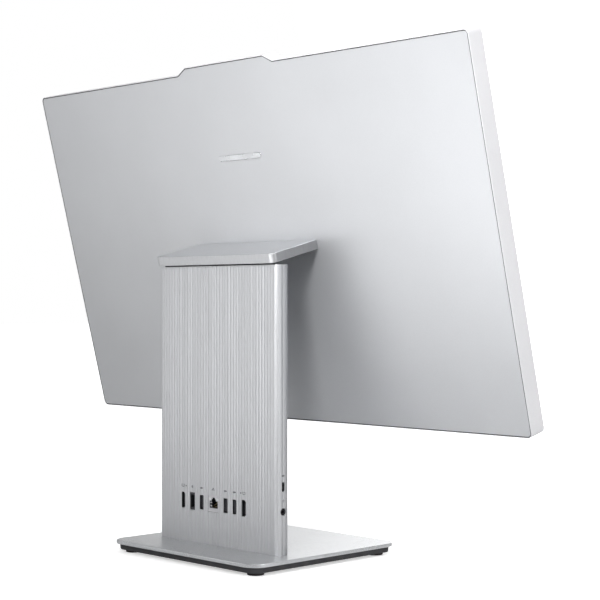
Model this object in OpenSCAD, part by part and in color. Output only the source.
// All-in-one desktop computer: a slim tilting display head on a slab column and a flat base.
// Millimetres. +Z up, the screen faces -Y, the ports face +Y. The origin is on the desk, under the
// middle of the base. The model is drawn with the head tilted back by head_tilt.

/* [Display head] */
// Width of the head over its side frame
head_w = 612; // [604:1:620]
// Height of the head without the camera bump
head_h = 357; // [354:1:362]
// Thickness of the head, back cover to bezel
head_t = 19.3; // [19:0.1:21]
// Radius of the head's four corners
head_corner = 5; // [3:0.5:7]
// Backward tilt at which the head is drawn, in degrees
head_tilt = 14.33; // [0:0.01:14.9]
// Width of the camera bump at its foot
bump_w = 138; // [130:1:150]
// Width of the camera bump along its top
bump_top_w = 114; // [108:1:120]
// Height of the camera bump above the head's top edge
bump_h = 6.5; // [6:0.5:8]
// Width of the lit screen area
active_w = 597.6; // [590:0.1:598]
// Height of the lit screen area
active_h = 336.2; // [332:0.1:337]

/* [Hinge] */
// Height of the tilt axis above the desk
hinge_z = 269.3; // [264:0.1:270.3]
// Distance from the tilt axis forward to the head's back face
hinge_to_back = 52; // [50:0.5:56]
// Distance from the tilt axis down to the head's bottom edge, measured along the head
head_drop = 157.4; // [150:0.1:165]
// Distance of each hinge from the middle
hinge_x = 46; // [42:1:52]

/* [Hinge cap] */
// Thickness of the cap over the hinge
cap_t = 9.2; // [9:0.1:11]
// Radius of the cap's two rear corners
cap_corner = 6; // [3:0.5:8]

/* [Column] */
// Width of the column
column_w = 172; // [168:1:176]
// Thickness of the column
column_t = 16.5; // [16.2:0.1:17.5]
// Height of the column's top above the desk
column_top = 283.5; // [282.3:0.1:284.3]
// Distance from the base's middle back to the column's rear face
column_rear = 49.6; // [45:0.1:55]
// Radius of the column's vertical corners
column_corner = 5; // [4:0.5:6]
// Distance between neighbouring grooves in the rear cover
groove_pitch = 4; // [3.5:0.1:5]

/* [Base] */
// Width of the base plate
base_w = 212; // [205:1:220]
// Depth of the base plate
base_d = 192; // [185:1:200]
// Height of the base plate's top above the desk
base_top = 12.3; // [12.3:0.1:13]
// Thickness of the base plate
plate_t = 3.6; // [3.2:0.1:4]
// Radius of the base plate's corners
base_corner = 15; // [10:1:20]

/* [Ports] */
// Height of the rear row of ports above the desk
port_z = 52.6; // [50:0.1:61]
// Sideways place of the network socket, in the middle of the rear row
port_x = 4; // [0:0.5:6]

/* [Hidden] */
$fn = 48;
e = 0.01;

// Column, from its outer faces inwards
column_y0 = column_rear - column_t;
column_mid = column_rear - column_t / 2;
cover_t = 2.2;
front_cover_t = 2;
cover_seam_y = column_y0 + 3.4;
cavity_y0 = column_y0 + front_cover_t;
cavity_y1 = column_rear - cover_t;
groove_r = 1.2;
groove_depth = 0.5;
groove_margin = 4;
spine_t = 1.6;
spine_y = cavity_y0 + 0.1;
board_t = 1.2;
board_half = 82;
board_y = spine_y + spine_t + 0.6;
socket_y0 = board_y + board_t;
socket_y1 = column_rear - 0.8;
foot_h = 12;
io_board_z0 = base_top + foot_h + 2;
io_board_h = 74;
io_board_hole_z = [io_board_z0 + 4, io_board_z0 + io_board_h - 5];
spine_h = hinge_z - base_top - 7;
cover_screw_r = 1.5;
foot_screw_x = [-60, -20, 20, 60];
foot_screw_r = 2;

// Base, from the desk upwards
plate_z0 = base_top - plate_t;
tray_inset = 3.2;
tray_t = 5.8;
tray_z0 = plate_z0 - tray_t;
tray_wall = 2;
weight_t = 2.8;
foot_pad_r = 8;
foot_pad_inset = 16.5;

// Hinge parts, about the tilt axis
pin_r = 3;
pin_fit = 0.05;
knuckle_r = 4.6;
knuckle_w = 14;
ear_t = 3;
ear_gap = 3.4;
arm_w = 18;
arm_t = 3.4;
ear_r = 5;
pin_len = knuckle_w + 2 * ear_gap + 2 * ear_t + 1;
washer_t = 0.8;
slot_clear = 1;
cable_w = 16;
cable_t = 0.5;
cable_z0 = io_board_z0 + 65;
cable_z1 = hinge_z - 13;

// Cap, in the head's own frame with the tilt axis at the origin
cap_z0 = 17.6;
cap_y1 = 8;
cap_wall = 1.8;
cap_base_t = 1.6;
bar_z0 = cap_z0 + cap_base_t + 0.4;

// Openings through the cap's front wall and the back cover: middle and width of each
passages = [[-hinge_x, arm_w + 2], [0, cable_w + 2], [hinge_x, arm_w + 2]];

// Head, in the same frame: y from the back face forward, z from the bottom edge up
back_y = -hinge_to_back;
front_y = back_y - head_t;
head_z0 = -head_drop;
head_z1 = head_z0 + head_h;
cover_plate_t = 1.8;
frame_wall = 2.4;
frame_lip = 0.9;
seam_gap = 0.5;
front_lip = 1.5;
bezel_gap = 0.15;
bezel_t = 1;
bezel_y = front_y + 0.3;
glass_y = bezel_y + bezel_t + 0.1;
glass_t = 1.5;
top_border = 5.5;
active_z1 = head_z1 - top_border;
active_z0 = active_z1 - active_h;
glass_margin = 1.6;
chin_h = 11.5;
backlight_t = 3.2;
tray_panel_t = 0.8;
chassis_t = 1;
backlight_y = glass_y + glass_t + 0.1;
panel_tray_y = backlight_y + backlight_t + 0.1;
chassis_y = panel_tray_y + tray_panel_t + 0.2;
standoff_h = 2;
mainboard_t = 1.4;
mainboard_y = chassis_y + chassis_t + standoff_h;
parts_y = mainboard_y + mainboard_t;
inside_y = back_y - cover_plate_t;
flange_t = 2.4;
flange_screw_r = 1.8;
flange_screw_z = [bar_z0 - 18, bar_z0 + 18];
board_screw_r = 1.3;
bump_slope = atan(bump_h / ((bump_w - bump_top_w) / 2));
bump_k = tan(bump_slope / 2);

// Places inside the head
board_x0 = -130;
board_x1 = 80;
board_z0 = -120;
board_z1 = 10;
cpu_x = 20;
cpu_z = -45;
fan_x = 126;
fan_z = -98;
fan_size = 82;
fan_t = 6.6;
fan_r = 33;
hub_r = 13;
shaft_r = 1.5;
fin_z0 = head_z0 + frame_wall + 1;
fin_z1 = fan_z - fan_size / 2 - 0.5;
fin_x0 = fan_x - fan_size / 2 + 4;
fin_x1 = fan_x + fan_size / 2 - 4;
pipe_y = parts_y + 2.7;
pipe_w = 6;
speaker_x = 212;
speaker_w = 80;
speaker_h = 28;
vent_x0 = -110;
vent_x1 = 160;
vent_pitch = 5;
camera_z = head_z1 + 0.4;
lens_r = 2.3;
lens_y = glass_y + 0.75;
shutter_x = -14.5;
shutter_w = 21;
shutter_travel = 8;
handle_x = -20;
handle_w = 6;
handle_h = 2.2;
power_x = 286;
source_x = 264;
button_y = -62;
button_w = 14;
button_d = 4;
button_travel = 0.6;
badge_z = 112;
badge_w = 62;
badge_h = 6;

// Ports: sideways place from port_x of each one in the rear row
hdmi_out_dx = 45;
dc_dx = 31;
usb_dx = [17.3, -18, -30.8];
hdmi_in_dx = -44.2;
usb_opening = [6, 14.2];
hdmi_opening = [6, 16];
dc_opening = [7, 17.2];
ethernet_opening = [16.4, 16];
usb_c_z = 76.2;
usb_c_opening = [3.4, 9.4];
jack_z = 52.9;
jack_opening_r = 3.5;
jack_bore_r = 1.8;
jack_len = 12;
jack_block = 6.4;

// ---------- helpers ----------

// Rounded rectangle, centred, made of squares and circles so that its corners stay true arcs
module rounded_rect(w, h, r) {
    square([w - 2 * r, h], center = true);
    square([w, h - 2 * r], center = true);
    for (x = [-1, 1], y = [-1, 1]) translate([x * (w / 2 - r), y * (h / 2 - r)]) circle(r);
}

// Two circles and the bar between them, w over all, h across
module pill(w, h) {
    square([w - h, h], center = true);
    for (x = [-1, 1]) translate([x * (w - h) / 2, 0]) circle(h / 2);
}

// Extrudes a shape drawn in x and z from y = y0 to y = y1
module slab(y0, y1) {
    translate([0, y1, 0]) rotate([90, 0, 0]) linear_extrude(y1 - y0) children();
}

// Puts a shape drawn about the tilt axis, with the head upright, where the tilted head is
module in_head() {
    translate([0, column_mid, hinge_z]) rotate([-head_tilt, 0, 0]) children();
}

// Straight round bar along x, centred on the local origin
module bar_x(r, len) {
    rotate([0, 90, 0]) cylinder(r = r, h = len, center = true);
}

// Screw with its head at the local origin and its shank along +z
module screw(shank_r, shank_len, head_r, head_len) {
    translate([0, 0, -e]) cylinder(r = shank_r, h = shank_len + e);
    translate([0, 0, -head_len]) difference() {
        cylinder(r = head_r, h = head_len);
        translate([0, 0, -e]) cylinder(r = head_r * 0.45, h = head_len * 0.6, $fn = 6);
    }
}

// Outline of the head in x and z, with the camera bump, drawn in by d on every side
module head_outline(d) {
    translate([0, (head_z0 + head_z1) / 2])
        rounded_rect(head_w - 2 * d, head_h - 2 * d, head_corner - d * 0.6);
    foot = bump_w / 2 - bump_k * d;
    top = bump_top_w / 2 - bump_k * d;
    translate([0, head_z1 - d])
        polygon([[-foot, -2], [foot, -2], [foot, 0], [top, bump_h], [-top, bump_h], [-foot, 0]]);
}

// Plan of the column, drawn in by d on every side
module column_plan(d) {
    translate([0, column_mid]) rounded_rect(column_w - 2 * d, column_t - 2 * d, column_corner - d * 0.9);
}

// ---------- base ----------

module base_plate() {
    color("silver") difference() {
        translate([0, 0, plate_z0]) linear_extrude(plate_t) rounded_rect(base_w, base_d, base_corner);
        for (x = foot_screw_x) translate([x, column_mid, plate_z0 - e])
            cylinder(r = 2.2, h = plate_t + 2 * e);
    }
}

module base_tray() {
    w = base_w - 2 * tray_inset;
    d = base_d - 2 * tray_inset;
    color("dimgray") difference() {
        translate([0, 0, tray_z0]) linear_extrude(tray_t) rounded_rect(w, d, base_corner - tray_inset);
        translate([0, 0, tray_z0 + 1.4]) linear_extrude(tray_t)
            rounded_rect(w - 2 * tray_wall, d - 2 * tray_wall, base_corner - tray_inset - tray_wall);
        for (x = foot_screw_x) translate([x, column_mid, 0]) cylinder(r = 5, h = tray_z0 + tray_t);
    }
}

module base_weight() {
    color("slategray") translate([0, 0, plate_z0 - weight_t]) difference() {
        linear_extrude(weight_t) rounded_rect(base_w - 24, base_d - 24, 8);
        for (x = foot_screw_x) translate([x, column_mid, -e]) cylinder(r = 6, h = weight_t + 2 * e);
    }
}

module base_feet() {
    color([0.12, 0.12, 0.13]) for (x = [-1, 1], y = [-1, 1])
        translate([x * (base_w / 2 - foot_pad_inset), y * (base_d / 2 - foot_pad_inset), 0])
            cylinder(r = foot_pad_r, h = tray_z0);
}

module base_screws() {
    color("gray") for (x = foot_screw_x) translate([x, column_mid, plate_z0])
        screw(foot_screw_r, plate_t + 8, 4, 2.4);
}

// ---------- column ----------

module column_foot() {
    color("gray") translate([0, 0, base_top]) difference() {
        translate([-75, spine_y + spine_t, 0]) cube([150, cavity_y1 - 1 - spine_y - spine_t, foot_h]);
        for (x = foot_screw_x) translate([x, column_mid, -e]) cylinder(r = foot_screw_r + 0.05, h = 9);
    }
}

// Sheet-steel spine: a plate up the front wall with folded side flanges
module column_spine() {
    color("lightslategray") translate([0, 0, base_top]) {
        difference() {
            translate([-78, spine_y, 0]) cube([156, spine_t, spine_h]);
            for (z = [110, 150, 190]) translate([0, spine_y, z]) slab(-1, spine_t + 1) pill(70, 16);
            cover_screw_places() translate([0, -1, -base_top]) slab(spine_y, spine_y + spine_t + 2)
                circle(cover_screw_r + 0.1);
        }
        for (x = [-1, 1]) translate([x * 77.2 - 0.8, spine_y, 92]) cube([1.6, 7, spine_h - 92]);
    }
}

module cover_screw_places() {
    for (x = [-70, 70], z = [112, 180, 248]) translate([x, 0, z]) children();
}

// Rear half of the column's skin, grooved from top to bottom, with the port openings
module column_rear_cover() {
    groove_n = floor((column_w / 2 - column_corner - groove_margin) / groove_pitch);
    color("silver") difference() {
        translate([0, 0, base_top]) linear_extrude(column_top - base_top) difference() {
            column_plan(0);
            column_plan(cover_t);
            translate([-column_w, column_y0 - 1])
                square([2 * column_w, cover_seam_y + 0.1 - column_y0 + 1]);
            for (i = [-groove_n:groove_n])
                translate([i * groove_pitch, column_rear + groove_r - groove_depth]) circle(groove_r);
        }
        translate([0, cavity_y1 - 1, 0]) rear_openings();
        side_openings();
    }
}

module column_front_cover() {
    color("silver") difference() {
        translate([0, 0, base_top]) linear_extrude(column_top - base_top) difference() {
            column_plan(0);
            column_plan(front_cover_t);
            translate([-column_w, cover_seam_y]) square([2 * column_w, column_t]);
        }
        cover_screw_places() slab(cavity_y0 - 1.3, cavity_y0 + 1) circle(cover_screw_r + 0.05);
    }
}

// Holes in the rear cover, one per socket, drawn from the local y = 0 backwards
module rear_openings() {
    depth = cover_t + 3;
    for (dx = usb_dx) translate([port_x + dx, 0, port_z]) slab(0, depth)
        square(usb_opening, center = true);
    translate([port_x + dc_dx, 0, port_z]) slab(0, depth) square(dc_opening, center = true);
    translate([port_x, 0, port_z]) slab(0, depth) square(ethernet_opening, center = true);
    for (dx = [hdmi_out_dx, hdmi_in_dx]) translate([port_x + dx, 0, port_z]) slab(0, depth)
        hdmi_shape(hdmi_opening);
}

module side_openings() {
    translate([-column_w / 2 - 1, column_mid, usb_c_z]) rotate([0, 90, 0]) linear_extrude(cover_t + 2)
        pill(usb_c_opening[1], usb_c_opening[0]);
    translate([-column_w / 2 - 1, column_mid, jack_z]) rotate([0, 90, 0])
        cylinder(r = jack_opening_r, h = cover_t + 2);
}

// Upright rectangle whose two corners on the -x side are cut off
module hdmi_shape(size) {
    w = size[0] / 2;
    h = size[1] / 2;
    cut = w * 0.62;
    polygon([[w, -h], [w, h], [-w + cut, h], [-w, h - cut], [-w, -h + cut], [-w + cut, -h]]);
}

// Dark lid of the column, with an open slot for each hinge arm
module column_top_plate() {
    lid_t = 3;
    color([0.15, 0.15, 0.16]) difference() {
        translate([0, 0, column_top - lid_t - 1]) linear_extrude(lid_t) difference() {
            column_plan(cover_t + 0.1);
            for (x = [-1, 1]) translate([x * hinge_x, column_mid])
                translate([-arm_w / 2 - slot_clear, -4.2]) square([arm_w + 2 * slot_clear, column_t]);
            translate([-12, column_mid - 3]) square([24, 6]);
        }
    }
}

module column_screws() {
    color("gray") cover_screw_places() translate([0, spine_y + spine_t, 0]) rotate([90, 0, 0])
        screw(cover_screw_r, spine_t + 1.3, 2.8, 0.9);
}

// Upright circuit board behind the ports
module io_board() {
    color("darkgreen") difference() {
        translate([-board_half, board_y, io_board_z0]) cube([2 * board_half, board_t, io_board_h]);
        for (x = [-70, 70], z = io_board_hole_z) translate([x, board_y, z])
            slab(-1, board_t + 1) circle(1.1);
    }
    color("gold") for (x = [-70, 70], z = io_board_hole_z)
        translate([x, board_y - 0.6, z]) rotate([-90, 0, 0]) difference() {
            cylinder(r = 2.2, h = 0.6 + e);
            translate([0, 0, -1]) cylinder(r = 1.1, h = 4);
        }
}

// Socket body standing on the board: outline is its face, the child is its hollow
module rear_socket(dx, floor_t) {
    translate([port_x + dx, 0, port_z]) difference() {
        slab(socket_y0, socket_y1) children(0);
        slab(socket_y0 + floor_t, socket_y1 + 1) children(1);
    }
}

module hdmi_socket(dx) {
    color("black") {
        rear_socket(dx, 1.5) {
            hdmi_shape(hdmi_opening - [0.3, 0.3]);
            hdmi_shape(hdmi_opening - [1.3, 1.3]);
        }
        translate([port_x + dx + 0.2, 0, port_z]) slab(socket_y0 + 1, socket_y1 - 1.5)
            square([1.2, 11.4], center = true);
    }
}

module usb_a_socket(dx) {
    color("black") {
        rear_socket(dx, 1.5) {
            square(usb_opening - [0.3, 0.3], center = true);
            square(usb_opening - [1.1, 1.1], center = true);
        }
        translate([port_x + dx + 1, 0, port_z]) slab(socket_y0 + 1, socket_y1 - 1)
            square([1.8, 11.6], center = true);
    }
}

// Network socket: plug hole with two steps up to the latch notch
module ethernet_socket() {
    color("silver") rear_socket(0, 1) {
        square(ethernet_opening - [0.3, 0.3], center = true);
        translate([0, 1.2]) {
            translate([0, -1.9]) square([11.8, 7], center = true);
            translate([0, 2.3]) square([6.2, 2.2], center = true);
            translate([0, 3.9]) square([3.6, 2], center = true);
        }
    }
}

module dc_inlet() {
    color("black") {
        rear_socket(dc_dx, 1.5) {
            square(dc_opening - [0.3, 0.3], center = true);
            square([5, 12], center = true);
        }
        translate([port_x + dc_dx, 0, port_z]) slab(socket_y0 + 1, socket_y1 - 2) pill(1.2, 1.2 - e);
    }
}

module usb_c_socket() {
    x0 = -column_w / 2 + 0.7;
    color("darkgray") translate([x0, column_mid, usb_c_z]) rotate([0, 90, 0]) {
        linear_extrude(9) difference() {
            pill(usb_c_opening[1] - 0.4, usb_c_opening[0] - 0.2);
            pill(usb_c_opening[1] - 1.2, usb_c_opening[0] - 1);
        }
        translate([0, 0, 8]) linear_extrude(1.2) pill(usb_c_opening[1] - 0.4, usb_c_opening[0] - 0.2);
        translate([0, 0, 1.5]) linear_extrude(7) square([6.4, 0.7], center = true);
    }
    color("darkgray") translate([x0 + 1.8, socket_y0, usb_c_z - 3])
        cube([7, column_mid - usb_c_opening[0] / 2 + 0.4 - socket_y0, 6]);
}

module audio_jack() {
    x0 = -column_w / 2 + 0.7;
    block_d = column_mid + jack_bore_r + 1.2 - socket_y0;
    color([0.1, 0.1, 0.1]) difference() {
        union() {
            translate([x0, column_mid, jack_z]) rotate([0, 90, 0])
                cylinder(r = jack_opening_r - 0.2, h = 2.2);
            translate([x0 + 2.2, socket_y0, jack_z - jack_block / 2])
                cube([jack_len - 1, block_d, jack_block]);
        }
        translate([x0 - 1, column_mid, jack_z]) rotate([0, 90, 0])
            cylinder(r = jack_bore_r, h = jack_len + 1);
    }
}

// Flat cable from the port board up the spine to the middle of the lid
module column_cable() {
    color("dimgray") translate([-cable_w / 2, socket_y0 + 0.1, 0]) {
        translate([0, 0, cable_z0]) cube([cable_w, cable_t, cable_z1 - cable_z0]);
        translate([-1.5, -0.1, cable_z0 - 8]) cube([cable_w + 3, 2.4, 8]);
        translate([-1.5, -0.1, cable_z1]) cube([cable_w + 3, 2.4, 6]);
    }
}

// ---------- hinge ----------

// Fixed bracket: a back plate on the spine, and two ears with the bearing bores
module hinge_bracket(side) {
    w = knuckle_w + 2 * ear_gap + 2 * ear_t;
    plate_y = spine_y + spine_t;
    color("lightslategray") translate([side * hinge_x, 0, hinge_z]) difference() {
        union() {
            translate([-w / 2, plate_y, -34]) cube([w, 1.6, 26]);
            for (x = [-1, 1]) translate([x * (w - ear_t) / 2 - ear_t / 2, 0, 0]) {
                translate([0, plate_y, -34]) cube([ear_t, column_mid + ear_r - plate_y, 34]);
                translate([ear_t / 2, column_mid, 0]) bar_x(ear_r, ear_t);
            }
        }
        translate([0, column_mid, 0]) bar_x(pin_r + pin_fit, w + 2);
    }
}

module friction_washers() {
    color("gray") for (side = [-1, 1], x = [-1, 1], i = [0:2])
        translate([side * hinge_x + x * (knuckle_w / 2 + 0.55 + i * (washer_t + 0.15)), column_mid,
            hinge_z]) difference() {
            bar_x(ear_r - 0.4, washer_t);
            bar_x(pin_r + pin_fit, washer_t + 1);
        }
}

module hinge_pins() {
    color("gainsboro") in_head() for (side = [-1, 1]) translate([side * hinge_x, 0, 0])
        bar_x(pin_r, pin_len);
}

// Arm: knuckle on the pin, web up out of the column, bar forward inside the cap, flange in the head
module hinge_arm(side) {
    flange_y = inside_y - 1.2;
    color("lightslategray") in_head() translate([side * hinge_x, 0, 0]) difference() {
        union() {
            bar_x(knuckle_r, knuckle_w);
            translate([-knuckle_w / 2, -arm_t / 2, 0]) cube([knuckle_w, arm_t, bar_z0 + arm_t]);
            translate([-arm_w / 2, flange_y, bar_z0]) cube([arm_w, arm_t / 2 - flange_y, arm_t]);
            translate([-arm_w / 2, flange_y - flange_t, bar_z0 - 26]) cube([arm_w, flange_t, 52]);
        }
        bar_x(pin_r, knuckle_w + 2);
        for (z = flange_screw_z) translate([0, 0, z]) slab(flange_y - 4, flange_y + 1)
            circle(flange_screw_r + 0.1);
    }
}

module cap_plan(d) {
    half = column_w / 2 - d;
    rear = cap_y1 - d;
    r = cap_corner - d * 0.6;
    translate([-half, back_y]) square([2 * half, rear - r - back_y]);
    translate([-half + r, back_y]) square([2 * (half - r), rear - back_y]);
    for (x = [-1, 1]) translate([x * (half - r), rear - r]) circle(r);
}

module hinge_cap() {
    color("silver") in_head() difference() {
        translate([0, 0, cap_z0]) linear_extrude(cap_t) cap_plan(0);
        translate([0, 0, cap_z0 - e]) linear_extrude(cap_t - cap_wall) difference() {
            cap_plan(cap_wall);
            translate([-column_w, back_y - 1]) square([2 * column_w, 1 + cap_wall]);
        }
        for (p = passages) translate([p[0] - p[1] / 2, back_y - 1, cap_z0 - e])
            cube([p[1], 2 + cap_wall, cap_t - cap_wall]);
    }
}

module hinge_cap_base() {
    color("gray") in_head() translate([0, 0, cap_z0 + 0.1]) linear_extrude(cap_base_t - 0.1)
        difference() {
        intersection() {
            cap_plan(cap_wall + 0.1);
            translate([-column_w, back_y + cap_wall + 0.1]) square([2 * column_w, 2 * hinge_to_back]);
        }
        for (p = passages) translate([p[0] - p[1] / 2, -arm_t / 2 - 1]) square([p[1], arm_t + 2]);
    }
}

// ---------- display head, outside ----------

module back_cover() {
    inset = frame_lip + seam_gap;
    color("silver") in_head() difference() {
        union() {
            slab(inside_y, back_y) head_outline(inset);
            for (x = [-220, -110, 110, 220]) translate([x - 0.6, inside_y - 1.6, 40])
                cube([1.2, 1.6 + e, 120]);
            for (z = [60, 140]) translate([-260, inside_y - 1.6, z]) cube([520, 1.6 + e, 1.2]);
        }
        for (p = passages) translate([p[0] - p[1] / 2, inside_y - 2, bar_z0 - 1])
            cube([p[1], cover_plate_t + 3, arm_t + 2]);
        translate([0, 0, badge_z]) slab(back_y - 0.4, back_y + 1) pill(badge_w, badge_h);
    }
}

// Band round the head's edge, with the bottom vents, speaker slots and button holes
module side_frame() {
    color("whitesmoke") in_head() difference() {
        slab(front_y, back_y) head_outline(0);
        slab(inside_y, back_y + 1) head_outline(frame_lip);
        slab(front_y - 1, inside_y + e) head_outline(frame_wall);
        slab(front_y - 1, bezel_y + bezel_t) head_outline(front_lip);
        for (x = [vent_x0:vent_pitch:vent_x1]) bottom_slot(x, 2.4, 5);
        for (side = [-1, 1], i = [-7:7]) bottom_slot(side * speaker_x + i * 3.2, 1.4, 4);
        for (x = [power_x, source_x]) translate([x, button_y, head_z0 - 1]) linear_extrude(frame_wall + 2)
            pill(button_w + 0.4, button_d + 0.4);
    }
}

module bottom_slot(x, w, d) {
    translate([x, (inside_y + chassis_y) / 2, head_z0 - 1]) linear_extrude(frame_wall + 2)
        square([w, d], center = true);
}

// Black border in front of the glass, with the camera, microphone and shutter openings
module front_bezel() {
    color([0.05, 0.05, 0.06]) in_head() difference() {
        slab(bezel_y, bezel_y + bezel_t) head_outline(front_lip + bezel_gap);
        slab(bezel_y - 1, bezel_y + bezel_t + 1) panel_area(0);
        slab(bezel_y - 1, bezel_y + bezel_t + 1) translate([-head_w, head_z0 - 1])
            square([2 * head_w, 1 + front_lip + chin_h]);
        translate([0, 0, camera_z]) slab(bezel_y - 1, bezel_y + bezel_t + 1) circle(lens_r + 0.4);
        for (x = [-38, 38]) translate([x, 0, camera_z]) slab(bezel_y - 1, bezel_y + bezel_t + 1)
            circle(0.8);
        translate([handle_x + shutter_travel / 2, 0, camera_z]) slab(bezel_y - 1, bezel_y + bezel_t + 1)
            square([handle_w + shutter_travel + 0.6, handle_h + 0.6], center = true);
    }
}

module chin_strip() {
    z0 = head_z0 + front_lip + bezel_gap;
    color("silver") in_head() slab(bezel_y, bezel_y + bezel_t) intersection() {
        head_outline(front_lip + bezel_gap);
        translate([-head_w, z0 - 1]) square([2 * head_w, chin_h - bezel_gap + 0.8]);
    }
}

module badge() {
    color("white") in_head() translate([0, 0, badge_z]) slab(back_y - 0.4, back_y + 0.5)
        pill(badge_w - 0.2, badge_h - 0.2);
}

// ---------- display head, inside ----------

module display_glass() {
    color([0.02, 0.02, 0.03]) in_head() slab(glass_y, glass_y + glass_t) panel_area(glass_margin);
}

module panel_area(margin) {
    translate([0, (active_z0 + active_z1) / 2])
        square([active_w + 2 * margin, active_h + 2 * margin], center = true);
}

module backlight() {
    color("white") in_head() slab(backlight_y, backlight_y + backlight_t) panel_area(0.8);
}

module panel_tray() {
    color("lightgray") in_head() {
        slab(panel_tray_y, panel_tray_y + tray_panel_t) panel_area(2.4);
        slab(glass_y + glass_t, panel_tray_y + e) difference() {
            panel_area(2.4);
            panel_area(1);
        }
    }
}

module chassis_plate() {
    color("lightslategray") in_head() {
        slab(chassis_y, chassis_y + chassis_t) difference() {
            translate([-200, -124]) square([400, 194]);
            for (x = [-160, 172]) translate([x, 40]) pill(50, 20);
        }
        for (x = [board_x0 + 8, board_x1 - 8], z = [board_z0 + 8, board_z1 - 8])
            translate([x, 0, z]) slab(chassis_y + chassis_t - e, mainboard_y) difference() {
                circle(3);
                circle(board_screw_r + 0.05);
            }
        for (x = [-1, 1], z = flange_screw_z) translate([x * hinge_x, 0, z])
            slab(chassis_y + chassis_t - e, inside_y - 1.2 - flange_t) difference() {
                circle(5);
                circle(flange_screw_r + 0.05);
            }
    }
}

module mainboard() {
    color("darkgreen") in_head() slab(mainboard_y, mainboard_y + mainboard_t) difference() {
        translate([board_x0, board_z0]) square([board_x1 - board_x0, board_z1 - board_z0]);
        for (x = [board_x0 + 8, board_x1 - 8], z = [board_z0 + 8, board_z1 - 8]) translate([x, z])
            circle(1.6);
        for (x = [-1, 1]) translate([x * hinge_x - 12, bar_z0 - 30]) square([24, 60]);
    }
}

module processor() {
    color("darkgray") in_head() {
        translate([cpu_x, 0, cpu_z]) slab(parts_y, parts_y + 1) square([34, 30], center = true);
        translate([cpu_x, 0, cpu_z]) slab(parts_y + 1 - e, parts_y + 1.6) square([20, 12], center = true);
    }
}

// Two flattened heat pipes from the processor's plate to the fins
module heat_pipes() {
    color("peru") in_head() {
        translate([cpu_x, 0, cpu_z]) slab(parts_y + 1.7, parts_y + 2.7) square([40, 40], center = true);
        for (i = [0, 1]) slab(pipe_y, inside_y - 0.4) pipe_route(i * 8);
    }
}

// Along the processor's plate, down beside the fan, and out along the fins
module pipe_route(step) {
    z_top = cpu_z + 4 - step;
    z_low = fin_z0 + 11.5 - step;
    x_bend = fan_x - fan_size / 2 - 4.5 - step;
    translate([cpu_x - 18, z_top - pipe_w / 2]) square([x_bend - cpu_x + 18, pipe_w]);
    translate([x_bend - pipe_w / 2, z_low]) square([pipe_w, z_top - z_low]);
    translate([x_bend, z_low - pipe_w / 2]) square([fin_x1 - x_bend, pipe_w]);
    for (z = [z_top, z_low]) translate([x_bend, z]) circle(pipe_w / 2);
}

module fin_stack() {
    n = 36;
    fin_y0 = inside_y - fan_t;
    color("silver") in_head() {
        for (i = [0:n]) translate([fin_x0 + i * (fin_x1 - fin_x0 - 0.4) / n, fin_y0, fin_z0])
            cube([0.4, pipe_y - 0.1 - fin_y0, fin_z1 - fin_z0]);
        translate([fin_x0, fin_y0, fin_z0]) cube([fin_x1 - fin_x0, 0.5, fin_z1 - fin_z0]);
    }
}

module fan_housing() {
    y0 = inside_y - fan_t - 0.2;
    color([0.1, 0.1, 0.11]) in_head() translate([fan_x, 0, fan_z]) difference() {
        slab(y0, inside_y - 0.4) square([fan_size, fan_size], center = true);
        slab(y0 + 0.8, inside_y - 0.8) difference() {
            union() {
                circle(fan_r + 2.5);
                translate([-fan_size / 2 + 5, -fan_size]) square([fan_size - 10, fan_size]);
            }
            circle(shaft_r);
        }
        slab(inside_y - 1, inside_y) circle(fan_r - 7);
    }
}

module fan_impeller() {
    n = 27;
    y0 = inside_y - fan_t + 1;
    color([0.2, 0.2, 0.22]) in_head() translate([fan_x, 0, fan_z]) slab(y0, inside_y - 1.2) difference() {
        union() {
            circle(hub_r);
            for (i = [0:n - 1]) rotate(i * 360 / n) translate([hub_r - 1, 0]) rotate(18)
                translate([0, -0.45]) square([fan_r - hub_r - 1, 0.9]);
        }
        circle(shaft_r + pin_fit);
    }
}

module memory_modules() {
    color("darkgreen") in_head() for (i = [0, 1]) translate([-92, 0, -92 + i * 36]) {
        slab(parts_y + 2, parts_y + 3) square([67.6, 30], center = true);
        slab(parts_y, parts_y + 2 + e) translate([0, -14]) square([70, 5], center = true);
        for (x = [-24, -8, 8, 24]) translate([x, 0, 2]) slab(parts_y + 3 - e, parts_y + 4)
            square([11, 9], center = true);
    }
}

module solid_state_drive() {
    color("darkslategray") in_head() translate([20, 0, -100]) {
        slab(parts_y + 1, parts_y + 1.8) square([80, 22], center = true);
        slab(parts_y, parts_y + 1 + e) translate([-38, 0]) square([6, 22], center = true);
        for (x = [-20, 4, 24]) translate([x, 0, 0]) slab(parts_y + 1.8 - e, parts_y + 3)
            square([14, 16], center = true);
    }
}

module wireless_card() {
    color("darkgreen") in_head() translate([-18, 0, -60]) {
        slab(parts_y + 1, parts_y + 1.8) square([22, 30], center = true);
        slab(parts_y + 1.8 - e, parts_y + 3) square([16, 18], center = true);
        slab(parts_y, parts_y + 1 + e) translate([0, -13]) square([22, 4], center = true);
    }
}

module coin_cell() {
    color("silver") in_head() translate([58, 0, -74]) slab(parts_y, parts_y + 3.2) circle(10);
}

module speaker(side) {
    z = head_z0 + frame_wall + 1 + speaker_h / 2;
    color([0.12, 0.12, 0.13]) in_head() translate([side * speaker_x, 0, z]) difference() {
        slab(chassis_y, inside_y - 0.6) rounded_rect(speaker_w, speaker_h, 3);
        translate([0, (chassis_y + inside_y) / 2, -speaker_h / 2 - 1]) linear_extrude(3) pill(44, 4);
    }
}

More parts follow.
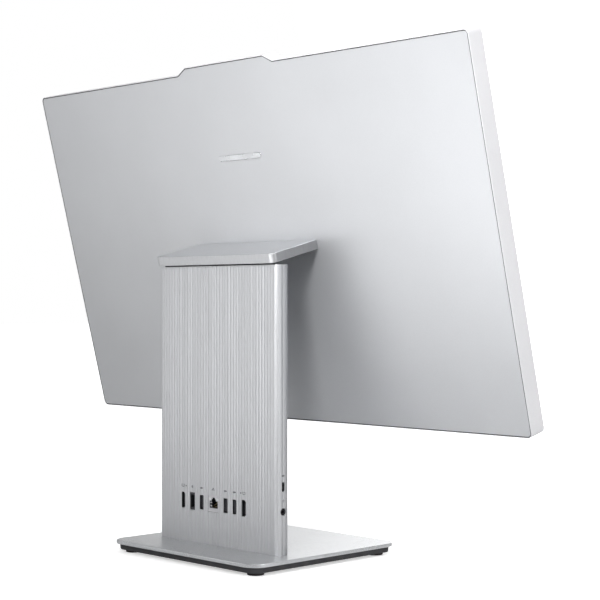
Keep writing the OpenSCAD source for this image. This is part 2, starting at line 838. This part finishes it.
module camera_module() {
    color("darkgreen") in_head() translate([0, 0, camera_z]) {
        slab(lens_y + 2.2, lens_y + 3) square([88, 5.6], center = true);
        translate([18, 0, 0]) slab(lens_y + 0.6, lens_y + 2.2 + e) square([5, 4.6], center = true);
        for (x = [-38, 38]) translate([x, 0, 0]) slab(lens_y + 1, lens_y + 2.2 + e)
            square([3.5, 2.8], center = true);
    }
}

module camera_lens() {
    color([0.02, 0.02, 0.04]) in_head() translate([0, 0, camera_z]) {
        slab(lens_y + 0.6, lens_y + 2.1) square([6.4, 5.6], center = true);
        slab(lens_y, lens_y + 0.7) circle(lens_r);
    }
}

// Sliding blade behind the bezel, with a small grip that stands in the bezel's slot
module privacy_shutter() {
    blade_y = bezel_y + bezel_t + 0.05;
    color([0.5, 0.1, 0.1]) in_head() translate([0, 0, camera_z]) {
        slab(blade_y, blade_y + 0.6) translate([shutter_x, 0]) square([shutter_w, 6], center = true);
        slab(front_y - 0.3, blade_y + e) translate([handle_x, 0])
            square([handle_w, handle_h], center = true);
    }
}

module push_button(x) {
    color("silver") in_head() translate([x, button_y, head_z0]) {
        translate([0, 0, -0.4]) linear_extrude(frame_wall + 0.5) pill(button_w, button_d);
        translate([0, 0, frame_wall + 0.1]) linear_extrude(1) pill(button_w + 4, button_d + 2);
    }
}

module button_board() {
    z0 = head_z0 + frame_wall + 1.1 + button_travel + 0.2;
    color("darkgreen") in_head() {
        translate([(power_x + source_x) / 2 - 20, button_y - 3, z0 + 1.2]) cube([40, 6, 1]);
        for (x = [power_x, source_x]) translate([x - 2, button_y - 2, z0]) cube([4, 4, 1.2 + e]);
    }
}

// Flat cable from inside the cap, through the back cover and down to the main board
module head_cable() {
    y = inside_y - 1;
    color("dimgray") in_head() {
        translate([-cable_w / 2, y, -10]) cube([cable_w, cable_t, bar_z0 + 0.6 + 10]);
        translate([-cable_w / 2, y, bar_z0 + 0.6 - cable_t]) cube([cable_w, -4 - y, cable_t]);
        translate([-cable_w / 2 - 1.5, parts_y, -12]) cube([cable_w + 3, y - parts_y + cable_t, 4]);
    }
}

module head_screws() {
    color("gray") in_head() {
        for (x = [-1, 1], z = flange_screw_z) translate([x * hinge_x, inside_y - 1.2, z])
            rotate([90, 0, 0]) cylinder(r = flange_screw_r, h = 6);
        for (x = [board_x0 + 8, board_x1 - 8], z = [board_z0 + 8, board_z1 - 8])
            translate([x, parts_y + 1, z]) rotate([90, 0, 0]) {
                cylinder(r = board_screw_r, h = mainboard_t + 2.2);
                cylinder(r = 2.6, h = 1);
            }
    }
}

// ---------- which node is drawn ----------

base_plate();
base_tray();
base_weight();
base_feet();
base_screws();
column_foot();
column_spine();
column_rear_cover();
column_front_cover();
column_top_plate();
column_screws();
io_board();
hdmi_socket(hdmi_out_dx);  // hdmi_out_socket
hdmi_socket(hdmi_in_dx);  // hdmi_in_socket
usb_a_socket(usb_dx[0]);  // usb_a_socket_1
usb_a_socket(usb_dx[1]);  // usb_a_socket_2
usb_a_socket(usb_dx[2]);  // usb_a_socket_3
ethernet_socket();
dc_inlet();
usb_c_socket();
audio_jack();
column_cable();
hinge_bracket(1);  // hinge_bracket_left
hinge_bracket(-1);  // hinge_bracket_right
friction_washers();
hinge_pins();
hinge_arm(1);  // hinge_arm_left
hinge_arm(-1);  // hinge_arm_right
hinge_cap();
hinge_cap_base();
back_cover();
side_frame();
front_bezel();
chin_strip();
display_glass();
backlight();
panel_tray();
chassis_plate();
mainboard();
processor();
heat_pipes();
fin_stack();
fan_housing();
fan_impeller();
memory_modules();
solid_state_drive();
wireless_card();
coin_cell();
speaker(1);  // speaker_left
speaker(-1);  // speaker_right
camera_module();
camera_lens();
privacy_shutter();
push_button(power_x);  // power_button
push_button(source_x);  // source_button
button_board();
head_cable();
badge();
head_screws();
